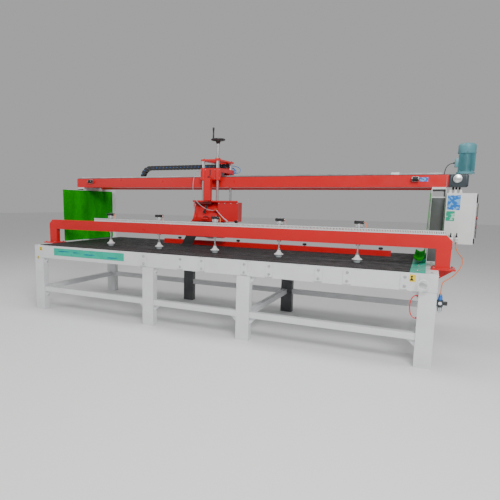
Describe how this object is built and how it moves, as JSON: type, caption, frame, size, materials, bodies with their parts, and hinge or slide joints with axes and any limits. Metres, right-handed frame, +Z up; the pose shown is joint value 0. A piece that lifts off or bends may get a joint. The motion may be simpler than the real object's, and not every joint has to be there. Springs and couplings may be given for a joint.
{
  "type": "bridge slab saw",
  "caption": "Bridge saw for slabs: long steel table with rubber top, clamp portal, gantry with travelling saw head, lift screw, drive motor, cabinet, side curtains.",
  "frame": {"origin": "on the floor, under the middle of the machine's outer box", "axes": "+X along the table towards the drive end, +Y towards the back, +Z up"},
  "size_m": [4.996, 1.7, 2.29],
  "materials": {
    "red_paint": "gloss",
    "grey_paint": "satin",
    "cream_paint": "satin",
    "dark_paint": "satin",
    "blue_grey_paint": "satin",
    "teal_sheet": "satin",
    "black_rubber": "matte",
    "turf": "matte",
    "white_plastic": "satin",
    "black_plastic": "satin",
    "red_plastic": "gloss",
    "blue_plastic": "gloss",
    "orange_hose": "satin",
    "grey_hose": "satin",
    "aluminium": "satin",
    "steel": "satin",
    "chrome": "gloss"
  },
  "bodies": {
    "machine": {"table_legs": "grey_paint", "long_rails": "grey_paint", "cross_rails": "grey_paint", "stretchers": "grey_paint", "table_deck": "grey_paint", "rubber_mat": "black_rubber", "end_slide": "teal_sheet", "clamp_beam": "red_paint", "portal_posts": "red_paint", "cable_duct": "white_plastic", "clamp_cylinders": "aluminium", "fence_bar": "red_paint", "columns": "grey_paint", "bridge_beam": "red_paint", "guide_rails": "steel", "chain_tray": "red_paint", "side_curtains": "turf", "drive_chain": "steel", "gearbox": "dark_paint", "drive_motor": "blue_grey_paint", "cabinet": "cream_paint", "air_service_unit": "blue_plastic", "chain_lower_run": "black_plastic", "air_hose": "orange_hose", "motor_cable": "black_rubber"},
    "clamps": {"clamp_rods": "steel", "clamp_feet": "white_plastic"},
    "carriage": {"saddle": "red_paint", "chain_upper_run": "black_plastic", "supply_hoses": "blue_plastic"},
    "carriage_lock": {"lock_lever": "black_plastic"},
    "chain_loop": {"chain_bend": "black_plastic"},
    "head": {"guide_rods": "chrome", "top_plate": "red_paint", "head_plate": "red_paint", "blade_guard": "red_paint", "saw_motor": "blue_grey_paint", "front_hood": "red_paint", "side_cover": "red_paint", "splash_flap": "black_rubber", "water_hose": "grey_hose"},
    "screw": {"lift_screw": "steel", "handwheel": "black_plastic"},
    "crank": {"crank_knob": "black_plastic"},
    "blade": {"saw_blade": "steel", "blade_arbor": "steel"},
    "hood_clamp": {"hood_lever": "black_plastic"},
    "drive_wheel": {"drive_sprocket": "steel"},
    "idler_wheel": {"idler_sprocket": "steel"},
    "door": {"cabinet_door": "cream_paint"},
    "stop": {"stop_button": "red_plastic"},
    "start": {"start_button": "black_plastic"},
    "switch": {"main_switch": "red_plastic"},
    "valve_1": {"valve_lever_1": "black_plastic"},
    "valve_2": {"valve_lever_2": "black_plastic"},
    "regulator": {"regulator_knob": "black_plastic"},
    "fence_clamp_1": {"fence_knob_1": "black_plastic"},
    "fence_clamp_2": {"fence_knob_2": "black_plastic"},
    "fence_clamp_3": {"fence_knob_3": "black_plastic"},
    "fence_clamp_4": {"fence_knob_4": "black_plastic"}
  },
  "joints": [
    {"name": "carriage_slide", "type": "slide", "parent": "machine", "child": "carriage", "axis": [1, 0, 0], "range_m": [-1.45, 1.85], "deforming": ["chain_lower_run"]},
    {"name": "chain_loop_slide", "type": "slide", "parent": "carriage", "child": "chain_loop", "axis": [1, 0, 0], "range_m": [-0.926, 0.726], "deforming": ["chain_upper_run"]},
    {"name": "drive_sprocket_turn", "type": "hinge", "parent": "machine", "child": "drive_wheel", "pos_m": [2.305, 0.29, 1.645], "axis": [0, 1, 0], "range_deg": [-1732.8, 2210.3]},
    {"name": "idler_sprocket_turn", "type": "hinge", "parent": "machine", "child": "idler_wheel", "pos_m": [-2.403, 0.29, 1.645], "axis": [0, 1, 0], "range_deg": [-1732.8, 2210.3]},
    {"name": "head_lift", "type": "slide", "parent": "carriage", "child": "head", "axis": [0, 0, 1], "range_m": [-0.045, 0.15], "deforming": ["water_hose", "splash_flap"]},
    {"name": "screw_turn", "type": "hinge", "parent": "carriage", "child": "screw", "pos_m": [-0.338, 0.28, 1.9], "axis": [0, 0, 1], "range_deg": [-10810, 3250]},
    {"name": "crank_knob_spin", "type": "hinge", "parent": "screw", "child": "crank", "pos_m": [-0.37205, 0.21318, 2.2], "axis": [0, 0, 1], "continuous": true},
    {"name": "blade_spin", "type": "hinge", "parent": "head", "child": "blade", "pos_m": [-0.394, 0.222, 1.095], "axis": [0, 1, 0], "continuous": true},
    {"name": "hood_lever_turn", "type": "hinge", "parent": "head", "child": "hood_clamp", "pos_m": [-0.398, 0.055, 1.262], "axis": [0, 1, 0], "range_deg": [-90, 0]},
    {"name": "carriage_lock_turn", "type": "hinge", "parent": "carriage", "child": "carriage_lock", "pos_m": [-0.354, 0.068, 1.678], "axis": [0, 1, 0], "range_deg": [0, 30]},
    {"name": "clamp_slide", "type": "slide", "parent": "machine", "child": "clamps", "axis": [0, 0, 1], "range_m": [0, 0.05]},
    {"name": "cabinet_door_hinge", "type": "hinge", "parent": "machine", "child": "door", "pos_m": [2.474, 0.29, 1.258], "axis": [0, 0, 1], "range_deg": [0, 110]},
    {"name": "stop_button_push", "type": "slide", "parent": "door", "child": "stop", "axis": [-1, 0, 0], "range_m": [0, 0.004], "stiffness_N_per_m": 800},
    {"name": "start_button_push", "type": "slide", "parent": "door", "child": "start", "axis": [-1, 0, 0], "range_m": [0, 0.004], "stiffness_N_per_m": 800},
    {"name": "main_switch_turn", "type": "hinge", "parent": "door", "child": "switch", "pos_m": [2.474, 0.085, 1.18], "axis": [1, 0, 0], "range_deg": [0, 90]},
    {"name": "valve_lever_1_turn", "type": "hinge", "parent": "machine", "child": "valve_1", "pos_m": [2.282, 0.012, 1.09], "axis": [0, 1, 0], "range_deg": [0, 90]},
    {"name": "valve_lever_2_turn", "type": "hinge", "parent": "machine", "child": "valve_2", "pos_m": [2.332, 0.012, 1.09], "axis": [0, 1, 0], "range_deg": [0, 90]},
    {"name": "regulator_knob_turn", "type": "hinge", "parent": "machine", "child": "regulator", "pos_m": [2.247, -0.75, 0.5725], "axis": [1, 0, 0], "range_deg": [-720, 720]},
    {"name": "fence_knob_1_turn", "type": "hinge", "parent": "machine", "child": "fence_clamp_1", "pos_m": [-0.935, 0.39, 0.9], "axis": [0, 0, 1], "range_deg": [-360, 360]},
    {"name": "fence_knob_2_turn", "type": "hinge", "parent": "machine", "child": "fence_clamp_2", "pos_m": [-0.0815, 0.39, 0.9], "axis": [0, 0, 1], "range_deg": [-360, 360]},
    {"name": "fence_knob_3_turn", "type": "hinge", "parent": "machine", "child": "fence_clamp_3", "pos_m": [0.772, 0.39, 0.9], "axis": [0, 0, 1], "range_deg": [-360, 360]},
    {"name": "fence_knob_4_turn", "type": "hinge", "parent": "machine", "child": "fence_clamp_4", "pos_m": [1.6255, 0.39, 0.9], "axis": [0, 0, 1], "range_deg": [-360, 360]}
  ],
  "couplings": [
    {"joint": "chain_loop_slide", "follows": "carriage_slide", "ratio": -0.5},
    {"joint": "drive_sprocket_turn", "follows": "carriage_slide", "rad_per_m": 20.833},
    {"joint": "idler_sprocket_turn", "follows": "carriage_slide", "rad_per_m": 20.833},
    {"joint": "screw_turn", "follows": "head_lift", "rad_per_m": -1256.6}
  ]
}
